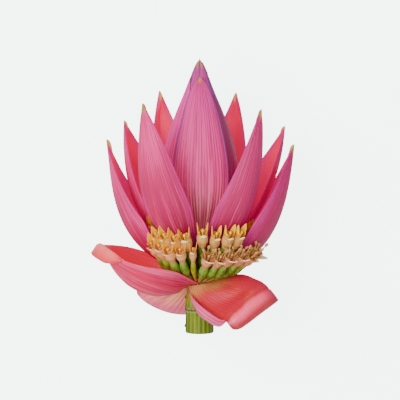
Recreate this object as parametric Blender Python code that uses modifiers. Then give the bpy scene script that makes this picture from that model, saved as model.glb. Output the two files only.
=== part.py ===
"""Flower head of an ornamental banana, cut from its plant and lying on its back.

The axis of the head runs along +Y, from the cut face of its stem to the tip of its bud, and +Z is
up, away from the surface that it lies on. It touches that surface with the tips of its two back
bracts and with the edge of its lowest, reflexed bract. Lengths below are in millimetres and angles
in degrees. Azimuth is measured round the axis: 0 faces up (+Z), 90 faces right (+X).
"""

import math

import bpy
import numpy as np

MM = 0.001

# Driving sizes
AXIS_HEIGHT = 51.18       # from the surface up to the axis of the head
HEAD_LENGTH = 180.0       # from the cut face to the tip of the bud
HEAD_OFFSET = 5.04        # the axis lies this far right of the middle of the head's width
BRACT_THICKNESS = 1.1
GAP = 0.3                 # between neighbours that touch
EDGE_WIDTH = 0.45         # half the width left at a bract's blunt tip
TIGHTEST_CURL = 1.7       # the smallest radius across a bract, in thicknesses
FOOT_RADIUS = 9.6         # of the flowers' and the rolled bracts' feet, round the stem
COLLAR = 0.18             # share of a bract's length over which it leaves its ring round the stem
ROLL_GAIN = 1.15          # power by which the hanging bract's roll tightens towards its tip
FINE_STEPS = 40           # steps between two rows when a midrib is summed up

STEM_SIDES = 22
STEM_PROFILE = [          # radius, height, from inside the head down to the cut face
    (7.7, 44.0), (7.8, 33.0), (8.0, 28.0), (9.0, 22.5), (9.2, 19.0), (9.7, 17.6), (9.7, 15.6),
    (9.2, 14.6), (9.15, 6.0), (9.3, 1.0), (8.9, 0.0), (0.0, 0.0),
]

BUD_SIDES = 24
BUD_ROWS = 16
BUD_BASE = 66.3
BUD_FOOT = 63.6           # where the bud's rounded end would meet the axis
BUD_RADIUS = 25.2
BUD_SKEW = 0.635          # below 1 puts the widest part nearer the foot
WRAP_STEP = BRACT_THICKNESS + 0.8   # from one layer of the bud to the next
BARE_TIP = (166.0, 173.0)           # heights between which the bud comes out of its wraps
BARE_TIP_SWELL = 0.5                # how far the bare tip stands proud of the bud's outline
WRAP_TIP_HALF_ANGLE = 2.5
SHOULDER = 0.9                      # how far the side wraps' tips stand off the bud

collection = bpy.data.collections.new("banana_blossom")


def clear_scene():
    for old in list(bpy.data.objects):
        bpy.data.objects.remove(old, do_unlink=True)
    bpy.context.scene.collection.children.link(collection)


def make_material(name, colour, roughness):
    """A Principled BSDF of one colour, which stands for this piece's living tissue."""
    material = bpy.data.materials.new(name)
    material.use_nodes = True
    shader = material.node_tree.nodes["Principled BSDF"]
    shader.inputs["Base Color"].default_value = (*colour, 1.0)
    shader.inputs["Roughness"].default_value = roughness
    shader.inputs["Metallic"].default_value = 0.0
    return material


def finish(piece, name, colour, roughness=0.45):
    """Names a piece, gives it its own material and puts it in the head's collection."""
    piece.name = name
    piece.data.name = name
    piece.data.materials.clear()
    piece.data.materials.append(make_material(name, colour, roughness))
    for owner in list(piece.users_collection):
        owner.objects.unlink(piece)
    collection.objects.link(piece)
    return piece


def to_world(points):
    """Points in the head's own frame, in mm, moved over the surface and turned into metres."""
    return (points + np.array([HEAD_OFFSET, -HEAD_LENGTH / 2, AXIS_HEIGHT])) * MM


def ease(t):
    """A smooth step from 0 to 1."""
    t = np.clip(t, 0.0, 1.0)
    return t * t * (3.0 - 2.0 * t)


def around_axis(azimuth, radius, height, side=0.0):
    """A point or grid at a radius from the axis, shifted sideways at right angles to that radius."""
    turn = np.radians(azimuth)
    x = radius * np.sin(turn) + side * np.cos(turn)
    z = radius * np.cos(turn) - side * np.sin(turn)
    return np.stack(np.broadcast_arrays(x, height, z), -1)


def sheet(points, name, colour, thickness=BRACT_THICKNESS):
    """A grid primitive moved onto a curved surface, with its thickness added on the inner side."""
    rows, columns = points.shape[:2]
    bpy.ops.mesh.primitive_grid_add(x_subdivisions=columns - 1, y_subdivisions=rows - 1, size=1.0)
    piece = bpy.context.object
    piece.data.vertices.foreach_set("co", to_world(points).reshape(-1))
    piece.data.update()
    solidify = piece.modifiers.new("thickness", "SOLIDIFY")
    solidify.thickness = thickness * MM
    solidify.offset = -1.0
    piece.data.shade_smooth()
    return finish(piece, name, colour)


def bract_surface(azimuth, base, length, lean, half_width, widest, taper, cup,
                  ring=(9.3, 42.0), tilt=0.0, roll=0.0, roll_from=1.0, rows=13, columns=7):
    """The outer face of a bract, as a grid from its ring on the stem to its tip.

    Its midrib starts on the ring and leans from lean[0] to lean[1] degrees off the axis, easing
    by the power lean[2]. Its width grows up to the share `widest` of the length and tapers by the
    power `taper`. Across, it is an arc whose half angle goes from the ring's through cup[0] at the
    widest place to cup[1]. A reflexed bract is tilted about its midrib and rolls back on itself.
    """
    ring_radius, ring_angle = ring
    u = np.linspace(0.0, 1.0, rows)
    v = np.linspace(-1.0, 1.0, columns)
    before_roll = np.clip(u / roll_from, 0.0, 1.0)
    fine = np.linspace(0.0, 1.0, FINE_STEPS * (rows - 1) + 1)
    fine_before = np.clip(fine / roll_from, 0.0, 1.0)
    fine_rolled = np.clip((fine - roll_from) / max(1.0 - roll_from, 1e-6), 0.0, 1.0)
    angle = np.radians(lean[1] + (lean[0] - lean[1]) * (1.0 - fine_before) ** lean[2]
                       + roll * fine_rolled ** ROLL_GAIN)
    step = length / (len(fine) - 1)
    middle = (angle[1:] + angle[:-1]) / 2
    out = np.concatenate([[0.0], np.cumsum(np.sin(middle)) * step])[::FINE_STEPS]
    up = np.concatenate([[0.0], np.cumsum(np.cos(middle)) * step])[::FINE_STEPS]
    angle = angle[::FINE_STEPS]

    ring_width = ring_radius * math.radians(ring_angle)
    growing = np.sin(np.pi / 2 * np.clip(u / widest, 0.0, 1.0))
    fading = 1.0 - np.clip((u - widest) / (1.0 - widest), 0.0, 1.0) ** taper
    width = (ring_width + (half_width - ring_width) * growing) * fading
    width = np.maximum(width, EDGE_WIDTH)
    closing = np.clip((u - widest) / max(roll_from - widest, 0.05), 0.0, 1.0)
    arc = np.radians(np.where(u < widest, ring_angle + (cup[0] - ring_angle) * growing,
                              cup[0] + (cup[1] - cup[0]) * closing))
    radius = np.maximum(width / arc, TIGHTEST_CURL * BRACT_THICKNESS)
    arc = (width / radius)[:, None] * v
    across = radius[:, None] * np.sin(arc)
    inward = radius[:, None] * (1.0 - np.cos(arc))

    leaving = ease(u / COLLAR)
    facing = (angle * leaving)[:, None]
    points = np.stack(np.broadcast_arrays(across, out[:, None] - inward * np.cos(facing),
                                          up[:, None] + inward * np.sin(facing)), -1)
    aim = int(np.argmin(np.abs(before_roll - 1.0)))
    midrib = np.array([0.0, out[aim], up[aim]])
    midrib = midrib / np.linalg.norm(midrib)
    turn = (math.radians(tilt) * leaving)[:, None, None]
    along = midrib * (points @ midrib)[..., None]
    points = points * np.cos(turn) + np.cross(midrib, points) * np.sin(turn) + along * (1 - np.cos(turn))
    return around_axis(azimuth, ring_radius + points[..., 1], base + points[..., 2], points[..., 0])


def bud_radius(height):
    """The bud's outer radius: a half sine wave whose widest part is moved towards the foot."""
    share = np.clip((height - BUD_FOOT) / (HEAD_LENGTH - BUD_FOOT), 0.0, 1.0)
    return BUD_RADIUS * np.sin(np.pi * share ** BUD_SKEW)


def heart_radius(height):
    """The bud's own radius under its wrapping bracts, which end below its bare tip."""
    bare = ease((height - BARE_TIP[0]) / (BARE_TIP[1] - BARE_TIP[0]))
    return bud_radius(height) - WRAP_STEP * (1.0 - bare) + BARE_TIP_SWELL * bare


def turned(profile, name, colour, sides):
    """A profile of (radius, height) pairs, top to bottom, turned about the head's axis."""
    mesh = bpy.data.meshes.new(name)
    points = [(radius * MM, 0.0, height * MM) for radius, height in profile]
    mesh.from_pydata(points, [(i, i + 1) for i in range(len(points) - 1)], [])
    piece = bpy.data.objects.new(name, mesh)
    bpy.context.scene.collection.objects.link(piece)
    piece.location = to_world(np.zeros(3))
    piece.rotation_euler = (-math.pi / 2, 0.0, 0.0)
    screw = piece.modifiers.new("turn", "SCREW")
    screw.steps = sides
    screw.render_steps = sides
    screw.use_merge_vertices = True
    screw.merge_threshold = 0.00001
    screw.use_smooth_shade = True
    return finish(piece, name, colour)


def make_stem():
    """The peduncle: a fleshy stem with one node ring, tapering on up inside the head."""
    top = BUD_BASE - GAP
    rounded_top = [(0.0, top), (6.0, top), (7.2, top - 3.0)]
    turned(rounded_top + STEM_PROFILE, "peduncle", (0.35, 0.42, 0.08), STEM_SIDES)


def make_bud():
    """The closed bud: a heart of unopened bracts inside three bracts that wrap round it."""
    heights = BUD_BASE + (HEAD_LENGTH - BUD_BASE) * np.linspace(1.0, 0.0, BUD_ROWS) ** 1.1
    heights[0] = HEAD_LENGTH
    profile = [(0.0, HEAD_LENGTH)]
    profile += [(float(heart_radius(h)), float(h)) for h in heights[1:]]
    profile += [(0.0, BUD_BASE)]
    turned(profile, "bud_heart", (0.62, 0.26, 0.38), BUD_SIDES)

    for name, shape in BUD_WRAPS.items():
        sheet(wrap_surface(**shape), name, (0.60, 0.25, 0.42))


# The front wrap covers the side ones' margins. The side ones keep their width almost up to their
# tips, which makes the bud's shoulders.
BUD_WRAPS = {
    "bud_wrap_left": dict(
        azimuth=-98.0, spread=73.0, foot=72.0, tip=169.6, narrowing=(7.0, 0.5), lift=SHOULDER),
    "bud_wrap_right": dict(
        azimuth=110.0, spread=70.0, foot=72.0, tip=170.2, narrowing=(5.0, 0.55), lift=SHOULDER),
    "bud_wrap_front": dict(
        azimuth=2.5, spread=42.0, foot=72.0, tip=168.0, narrowing=(20.0, 0.75), offset=WRAP_STEP),
}


def wrap_surface(azimuth, spread, foot, tip, narrowing, offset=0.0, lift=0.0, rows=12, columns=11):
    """A bract that lies on the bud: it covers `spread` degrees either side of its midrib.

    Its half angle falls off as (1 - u ** narrowing[0]) ** narrowing[1]. It lies `offset` outside
    the bud's outline, and its tip stands off by `lift` more over its last seventh.
    """
    u = np.linspace(0.0, 1.0, rows)
    v = np.linspace(-1.0, 1.0, columns)
    height = foot + (tip - foot) * u
    half = spread * np.maximum(1.0 - u ** narrowing[0], 0.0) ** narrowing[1] + WRAP_TIP_HALF_ANGLE
    radius = bud_radius(height) + offset + lift * ease(7.0 * u - 6.0)
    return around_axis(azimuth + half[:, None] * v, radius[:, None], height[:, None])


UPRIGHT_BRACTS = {
    "bract_front_left": dict(
        azimuth=-40.1, base=56.0, length=119.9, lean=(85.3, 3.7, 2.6), half_width=24.9,
        widest=0.37, taper=1.65, cup=(76.0, 58.0), ring=(9.2, 42.0)),
    "bract_front_right": dict(
        azimuth=45.8, base=52.0, length=115.4, lean=(68.5, 4.3, 2.03), half_width=20.8,
        widest=0.37, taper=1.35, cup=(67.0, 61.0), ring=(9.2, 42.0)),
    "bract_left_outer": dict(
        azimuth=-96.0, base=44.0, length=107.2, lean=(96.3, 6.2, 2.36), half_width=29.5,
        widest=0.45, taper=1.56, cup=(68.0, 30.0), ring=(9.4, 42.0)),
    "bract_right_outer": dict(
        azimuth=91.2, base=41.0, length=106.2, lean=(88.0, 4.7, 1.95), half_width=30.7,
        widest=0.44, taper=1.65, cup=(65.0, 60.0), ring=(9.4, 42.0)),
    "bract_left_inner": dict(
        azimuth=-111.8, base=49.0, length=102.9, lean=(65.5, -1.3, 1.39), half_width=29.0,
        widest=0.44, taper=1.67, cup=(58.0, 68.0), ring=(9.2, 42.0)),
    "bract_right_inner": dict(
        azimuth=112.5, base=46.0, length=102.1, lean=(54.5, 7.2, 1.03), half_width=24.5,
        widest=0.41, taper=1.58, cup=(53.0, 63.0), ring=(9.4, 42.0)),
    "bract_back_left": dict(
        azimuth=-153.1, base=64.0, length=104.2, lean=(58.9, 3.8, 1.2), half_width=19.5,
        widest=0.39, taper=1.42, cup=(65.0, 48.0), ring=(9.0, 42.0)),
    "bract_back_right": dict(
        azimuth=155.2, base=60.0, length=107.1, lean=(63.6, 3.0, 1.45), half_width=20.5,
        widest=0.4, taper=1.51, cup=(58.0, 53.0), ring=(9.0, 42.0)),
}

HANGING_BRACT = dict(
    azimuth=-163.0, base=27.2, length=55.5, lean=(175.0, 72.0, 1.08), half_width=38.5,
    widest=0.46, taper=2.15, cup=(56.0, 38.0), ring=(9.5, 56.0), tilt=-1.6, roll=40.0,
    roll_from=0.8, rows=15)

# A bract with a rolled end. Its foot is an arc on the stem, given by azimuths and a height. Then come
# the stations of its blade, each a row of points (right, up, front) from one margin to the other,
# which lie at the shares `places` of its half width; the last is the crest where the roll starts.
# `reach` is how far the roll reaches at each point, and `away` the way in which it leaves the crest.
ROLLED_BRACTS = {
    "reflexed_bract_left": dict(
        places=(-1.0, -0.5, 0.0, 0.5, 1.0),
        foot=(-143.0, -110.0, -75.0, -40.0, -2.0), foot_height=32.7,
        stations=[
            [(-17, 44, -12), (-20, 33, -6), (-15, 27, 6), (-14, 30.5, 19), (-14, 42.8, 29)],
            [(-34.8, 51.1, -13), (-34, 35, -7), (-32.2, 26.2, 13), (-31, 35.6, 30), (-33.5, 47.3, 37)],
            [(-49, 55.2, -10), (-51, 44, -3), (-48.8, 34.6, 14), (-47, 43.3, 29), (-45.2, 50.1, 36)],
            [(-58.8, 56.7, -5), (-60.5, 51, 2), (-57.5, 45.5, 15), (-55, 48.5, 25), (-48.1, 51.2, 34.5)],
            [(-67.5, 56.5, -1), (-64.8, 58.5, 8), (-61, 57, 17), (-56.2, 54.8, 25.5), (-50.4, 52, 32)],
        ],
        reach=(5.0, 8.0, 8.0, 7.0, 2.5), away=(-0.55, -0.83, 0.0)),
    "reflexed_bract_right": dict(
        places=(-1.0, -0.72, -0.3, 0.3, 1.0),
        foot=(-72.0, -48.0, -10.0, 40.0, 115.0), foot_height=31.1,
        stations=[
            [(-3.6, 24.2, 20), (-4.2, 20, 15), (2.3, 26, 15), (14.6, 30.4, 20), (26.3, 38.4, 12)],
            [(6.2, 17.3, 33), (3.6, 11.7, 27), (14, 19.3, 25), (27, 28.7, 27), (36.7, 37.7, 22)],
            [(12.7, 13.7, 38.5), (13, 8.1, 33), (19.2, 18.3, 33.5), (30.6, 27.7, 32.5), (41, 36.1, 26)],
            [(17.6, 12.5, 41), (19.5, 14, 40.5), (23.1, 17.8, 39.5), (32.8, 26.2, 36), (44.5, 33.2, 29)],
        ],
        reach=(6.0, 8.0, 9.8, 11.0, 10.7), away=(0.62, -0.78, 0.0)),
}
ROLL = [                  # a roll's profile in shares of its reach: outwards from the crest, forwards
    (0.22, 0.21), (0.5, 0.27), (0.8, 0.13), (0.97, -0.12), (0.98, -0.36), (0.8, -0.58),
    (0.5, -0.66), (0.2, -0.5),
]


def through(values, places, at):
    """A smooth curve through `values` at `places`: cubic pieces whose slope at each value is the
    slope between its neighbours."""
    slopes = np.gradient(values, places, axis=0)
    piece = np.clip(np.searchsorted(places, at, side="right") - 1, 0, len(places) - 2)
    span = places[piece + 1] - places[piece]
    shape = (-1,) + (1,) * (values.ndim - 1)
    t = ((at - places[piece]) / span).reshape(shape)
    span = span.reshape(shape)
    return (values[piece] * (1 + 2 * t) * (1 - t) ** 2 + values[piece + 1] * t * t * (3 - 2 * t)
            + slopes[piece] * span * t * (1 - t) ** 2 + slopes[piece + 1] * span * t * t * (t - 1))


def rolled_surface(places, foot, foot_height, stations, reach, away, rows=34, columns=11):
    """The outer face of a bract with a rolled end, smooth through its foot, stations and roll."""
    places = np.array(places)
    crest = np.array(stations[-1], float)
    reach = np.array(reach)[:, None]
    roll = [crest + reach * (out * np.array(away) + [0.0, 0.0, front]) for out, front in ROLL]
    grid = np.array([around_axis(np.array(foot), FOOT_RADIUS, foot_height),
                     *np.array(stations, float), *roll])
    distance = np.linalg.norm(np.diff(grid, axis=0), axis=-1).mean(1)
    at = np.concatenate([[0.0], np.cumsum(distance)])
    wide = through(np.moveaxis(grid, 1, 0), places, np.linspace(-1.0, 1.0, columns))
    crest_at = at[len(stations)]
    blade_rows = rows // 2
    along = np.concatenate([np.linspace(0.0, crest_at, blade_rows, endpoint=False),
                            np.linspace(crest_at, at[-1], rows - blade_rows)])
    return through(np.moveaxis(wide, 0, 1), at, along)


def make_bracts():
    for name, shape in UPRIGHT_BRACTS.items():
        sheet(bract_surface(**shape), name, (0.60, 0.18, 0.32))
    for name, shape in ROLLED_BRACTS.items():
        sheet(rolled_surface(**shape), name, (0.66, 0.16, 0.24))
    sheet(bract_surface(**HANGING_BRACT), "reflexed_bract_back", (0.66, 0.16, 0.24))


# Each flower: azimuth and height of its foot on the stem, then azimuth, radius and height of its top
FLOWERS = {
    "flower_right_upper": [
        (5.4, 41.0, 3.3, 33.5, 74.5),
        (18.8, 41.0, 18.0, 36.5, 73.5),
        (32.7, 41.0, 30.7, 39.5, 73.5),
        (45.6, 40.2, 42.2, 41.2, 73.4),
    ],
    "flower_right_lower": [
        (0.1, 35.5, 10.5, 39.5, 61.0),
        (14.9, 35.5, 22.0, 41.5, 61.0),
        (30.0, 35.5, 32.0, 43.0, 62.0),
        (48.0, 35.8, 44.3, 44.5, 61.5),
        (64.8, 36.4, 54.4, 47.0, 60.0),
        (78.3, 38.4, 64.4, 46.2, 60.8),
    ],
    "flower_left_lower": [
        (-14.1, 35.3, -6.9, 34.5, 62.2),
        (-29.6, 35.9, -19.2, 38.5, 63.0),
        (-44.3, 35.3, -30.4, 40.5, 62.5),
        (-59.8, 35.2, -40.4, 41.0, 65.0),
        (-74.6, 36.4, -50.5, 41.0, 66.0),
    ],
    "flower_left_upper": [
        (-7.2, 41.7, -17.0, 35.2, 71.2),
        (-24.3, 41.5, -27.5, 37.4, 71.0),
        (-40.3, 41.6, -37.1, 38.7, 72.0),
        (-56.3, 41.1, -47.6, 39.0, 71.8),
    ],
    "flower_right_axil": [
        (63.0, 44.6, 72.5, 35.8, 74.8),
    ],
    "flower_left_axil": [
        (-62.2, 47.5, -69.2, 36.5, 78.6),
    ],
    "flower_back": [
        (150.0, 34.0, 150.0, 41.0, 61.0),
        (165.0, 34.0, 165.0, 41.0, 60.0),
        (180.0, 34.0, 180.0, 42.0, 60.0),
        (-165.0, 34.0, -165.0, 41.0, 60.0),
        (-150.0, 34.0, -150.0, 41.0, 61.0),
    ],
}
BEND_OUT = 0.62           # shares of the way out and up at which a flower's axis bends
BEND_UP = 0.22
FLOWER_SIDES = 1          # bevel resolution: 6 sides
FLOWER_OUTLINE = [        # share of the length, radius: stalk, ovary, neck, tepals, crown
    (0.0, 1.1), (0.2, 1.5), (0.36, 2.5), (0.5, 2.0), (0.66, 2.6), (0.88, 2.3), (1.0, 1.5),
]


def flower_axis(foot_azimuth, foot_height, top_azimuth, top_radius, top_height, share):
    """A flower's axis: it leaves the stem almost level and bends up, as a quadratic curve."""
    foot = around_axis(foot_azimuth, FOOT_RADIUS, foot_height)
    top = around_axis(top_azimuth, top_radius, top_height)
    bend_radius = FOOT_RADIUS + BEND_OUT * (top_radius - FOOT_RADIUS)
    bend_height = foot_height + BEND_UP * (top_height - foot_height)
    bend = around_axis((foot_azimuth + top_azimuth) / 2, bend_radius, bend_height)
    return foot * (1 - share) ** 2 + 2 * bend * share * (1 - share) + top * share ** 2


def make_flower(name, placing):
    curve = bpy.data.curves.new(name, "CURVE")
    curve.dimensions = "3D"
    curve.bevel_depth = MM
    curve.bevel_resolution = FLOWER_SIDES
    curve.use_fill_caps = True
    spline = curve.splines.new("POLY")
    spline.points.add(len(FLOWER_OUTLINE) - 1)
    for point, (share, radius) in zip(spline.points, FLOWER_OUTLINE):
        place = to_world(flower_axis(*placing, share))
        point.co = (*place, 1.0)
        point.radius = radius
    piece = bpy.data.objects.new(name, curve)
    bpy.context.scene.collection.objects.link(piece)
    return finish(piece, name, (0.45, 0.36, 0.09))


def make_flowers():
    for row, placings in FLOWERS.items():
        for number, placing in enumerate(placings, start=1):
            make_flower(f"{row}_{number}", placing)


clear_scene()
make_stem()
make_bud()
make_bracts()
make_flowers()
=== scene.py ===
"""The finished looks of an ornamental banana's cut flower head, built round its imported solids.

The head lies on its back with its axis along +Y, from the cut face of the stem to the tip of the
bud. Lengths are in millimetres and angles in degrees, and a skin turns them into metres when it
makes its mesh. Azimuth is measured round the axis: 0 faces up (+Z), 90 faces right (+X).
"""

import math

import bpy
import numpy as np
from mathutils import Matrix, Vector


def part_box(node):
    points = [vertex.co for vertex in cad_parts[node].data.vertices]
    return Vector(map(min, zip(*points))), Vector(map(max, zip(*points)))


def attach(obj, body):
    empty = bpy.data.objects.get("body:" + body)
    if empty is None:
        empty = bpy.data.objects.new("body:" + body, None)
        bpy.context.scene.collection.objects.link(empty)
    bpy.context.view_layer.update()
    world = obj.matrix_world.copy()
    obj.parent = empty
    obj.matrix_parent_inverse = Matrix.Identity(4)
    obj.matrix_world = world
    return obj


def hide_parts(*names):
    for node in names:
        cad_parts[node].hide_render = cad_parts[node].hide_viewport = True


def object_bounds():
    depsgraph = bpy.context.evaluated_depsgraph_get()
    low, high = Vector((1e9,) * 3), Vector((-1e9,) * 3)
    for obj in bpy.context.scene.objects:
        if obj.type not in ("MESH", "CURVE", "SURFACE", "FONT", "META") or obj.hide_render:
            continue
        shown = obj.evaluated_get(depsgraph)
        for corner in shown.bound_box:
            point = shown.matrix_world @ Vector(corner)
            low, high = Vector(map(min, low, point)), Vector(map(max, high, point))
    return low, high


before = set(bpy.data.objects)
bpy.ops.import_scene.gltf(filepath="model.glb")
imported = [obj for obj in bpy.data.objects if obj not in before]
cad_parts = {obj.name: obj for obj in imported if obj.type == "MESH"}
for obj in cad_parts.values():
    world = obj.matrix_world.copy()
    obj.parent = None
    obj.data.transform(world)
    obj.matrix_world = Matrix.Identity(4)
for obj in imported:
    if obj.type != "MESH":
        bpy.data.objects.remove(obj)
cad_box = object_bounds()

# --- Studio -------------------------------------------------------------------------------------
# The head lies on a pale sheet under soft, nearly shadowless light from large diffusers, with the
# camera straight above and leaning a little towards the tip of the bud.

MM = 0.001
stem_low, stem_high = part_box("peduncle")
FOOT = np.array([(stem_low.x + stem_high.x) / 2, stem_low.y, (stem_low.z + stem_high.z) / 2]) / MM
HEAD_LENGTH = (cad_box[1].y - cad_box[0].y) / MM
CAMERA_LEAN = 7.0
CAMERA_DISTANCE = 6.0            # metres
VIEW_WIDTH = 0.26                # metres across the middle of the head
VIEW_CENTRE = (0.3, 86.9)        # the point of the head, sideways and up, in the middle of the view


def make_camera():
    """A camera on the far side of the middle of the view, with its top edge towards the bud."""
    data = bpy.data.cameras.new("camera")
    data.lens = data.sensor_width * CAMERA_DISTANCE / VIEW_WIDTH
    camera = bpy.data.objects.new("camera", data)
    bpy.context.scene.collection.objects.link(camera)
    lean = math.radians(CAMERA_LEAN)
    aim = (FOOT + [*VIEW_CENTRE, 0.0]) * MM
    camera.location = aim + CAMERA_DISTANCE * np.array([0.0, math.sin(lean), math.cos(lean)])
    camera.rotation_euler = (-lean, 0.0, 0.0)
    bpy.context.scene.camera = camera


def make_light(name, place, watts, size):
    """A square diffuser, `size` metres wide, that faces the middle of the head."""
    data = bpy.data.lights.new(name, "AREA")
    data.energy = watts
    data.size = size
    light = bpy.data.objects.new(name, data)
    bpy.context.scene.collection.objects.link(light)
    light.location = place
    toward = -np.array(place) / np.linalg.norm(place)
    light.rotation_euler = (math.acos(-toward[2]), 0.0, math.atan2(-toward[0], toward[1]))


def make_studio():
    """An even pale surround, two diffusers, and a sheet of paper that glows as if lit from below."""
    world = bpy.data.worlds.new("studio")
    world.use_nodes = True
    world.node_tree.nodes["Background"].inputs["Color"].default_value = (0.97, 0.99, 1.0, 1.0)
    world.node_tree.nodes["Background"].inputs["Strength"].default_value = 0.74
    bpy.context.scene.world = world
    make_light("key", (-0.6, 0.2, 1.05), 20.0, 0.8)
    make_light("fill", (0.5, -0.5, 1.0), 3.0, 0.9)

    bpy.ops.mesh.primitive_plane_add(size=6.0)
    floor = bpy.context.object
    floor.name = "floor"
    paper = bpy.data.materials.new("pale_paper")
    paper.use_nodes = True
    shader = paper.node_tree.nodes["Principled BSDF"]
    shader.inputs["Base Color"].default_value = (0.86, 0.89, 0.90, 1.0)
    shader.inputs["Roughness"].default_value = 0.9
    shader.inputs["Emission Color"].default_value = (0.9, 1.0, 1.0, 1.0)
    shader.inputs["Emission Strength"].default_value = 5.0
    floor.data.materials.append(paper)
    floor.visible_diffuse = floor.visible_glossy = False      # its glow doesn't light the head


make_camera()
make_studio()


# --- Peduncle -----------------------------------------------------------------------------------
# The stem is fibrous and juicy, grown in one piece. Soft ribs run along it, a scarred ring marks
# where the lowest bract fell off, and its foot is cut straight across and browns at the rim.

def around_axis(azimuth, radius, height, side=0.0):
    """Points at a radius from the head's axis, moved sideways at right angles to that radius."""
    turn = np.radians(azimuth)
    x = radius * np.sin(turn) + side * np.cos(turn)
    z = radius * np.cos(turn) - side * np.sin(turn)
    return np.stack(np.broadcast_arrays(x, height, z), -1)


def round_turn(count):
    """Azimuths in degrees, evenly spaced round a full turn."""
    return np.linspace(0.0, 360.0, count, endpoint=False)


def ramp(low, high, t):
    """A straight step: 0 at `low`, 1 at `high`, which may be the lesser, and level beyond them."""
    return np.clip((t - low) / (high - low), 0.0, 1.0)


def ease(low, high, t):
    """A smooth step from 0 at `low` to 1 at `high`."""
    t = ramp(low, high, t)
    return t * t * (3.0 - 2.0 * t)


def skin_faces(rows, ring):
    """Quads of a closed skin: `rows` rings of `ring` points, joined row to row and round the ring.

    Each end is closed by a strip of quads that joins a ring's points j and ring - 1 - j.
    """
    row, place = np.meshgrid(np.arange(rows - 1), np.arange(ring), indexing="ij")
    after = (place + 1) % ring
    sides = np.stack([row * ring + place, row * ring + after,
                      (row + 1) * ring + after, (row + 1) * ring + place], -1).reshape(-1, 4)
    j = np.arange(ring // 2 - 1)
    cap = np.stack([j, ring - 1 - j, ring - 2 - j, j + 1], -1)
    return np.concatenate([sides, cap, cap[:, ::-1] + (rows - 1) * ring])


def make_piece(node, skins, slot_name, materials):
    """Joins closed skins into one piece that stands for a solid and moves with the root body.

    Each skin is (points, along, across, face, material): points in mm from the middle of the
    stem's cut face, as rows of rings; the pattern's two coordinates and which face a point is on
    (0 outside, 1 inside) for each point; and the number of its material. A skin whose volume
    comes out negative has its faces turned round.
    """
    corners, faces, patterns, numbers = [], [], [], []
    start = 0
    for points, along, across, face, number in skins:
        rows, ring = points.shape[:2]
        quads = skin_faces(rows, ring)
        flat = points.reshape(-1, 3)
        a, b, c, d = (flat - flat.mean(0))[quads.T]
        volume = np.einsum("ij,ij->", a, np.cross(b, c) + np.cross(c, d))
        if volume < 0.0:
            quads = quads[:, ::-1]
        corners.append((flat + FOOT) * MM)
        faces.append(quads + start)
        patterns += [np.broadcast_to(part, (rows, ring)).reshape(-1) for part in (across, along, face)]
        numbers.append(np.full(len(quads), number))
        start += len(flat)
    corners, faces = np.concatenate(corners), np.concatenate(faces)
    mesh = bpy.data.meshes.new(node + "_skin")
    mesh.vertices.add(len(corners))
    mesh.vertices.foreach_set("co", corners.reshape(-1))
    mesh.loops.add(faces.size)
    mesh.loops.foreach_set("vertex_index", faces.reshape(-1))
    mesh.polygons.add(len(faces))
    mesh.polygons.foreach_set("loop_start", np.arange(0, faces.size, 4))
    mesh.polygons.foreach_set("material_index", np.concatenate(numbers))
    mesh.update(calc_edges=True)
    mesh.shade_smooth()
    parts = np.stack([np.concatenate(patterns[part::3]) for part in range(3)], -1)
    mesh.attributes.new("pattern", "FLOAT_VECTOR", "POINT").data.foreach_set("vector", parts.reshape(-1))
    for material in materials:
        mesh.materials.append(material)
    piece = bpy.data.objects.new(node + "_skin", mesh)
    bpy.context.scene.collection.objects.link(piece)
    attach(piece, "root")
    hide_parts(node)


def tint(code):
    """A screen colour, six hexadecimal digits, as linear red, green, blue and alpha."""
    parts = np.array([int(code[i:i + 2], 16) for i in (0, 2, 4)]) / 255.0
    linear = np.where(parts <= 0.04045, parts / 12.92, ((parts + 0.055) / 1.055) ** 2.4)
    return (*map(float, linear), 1.0)


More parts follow.
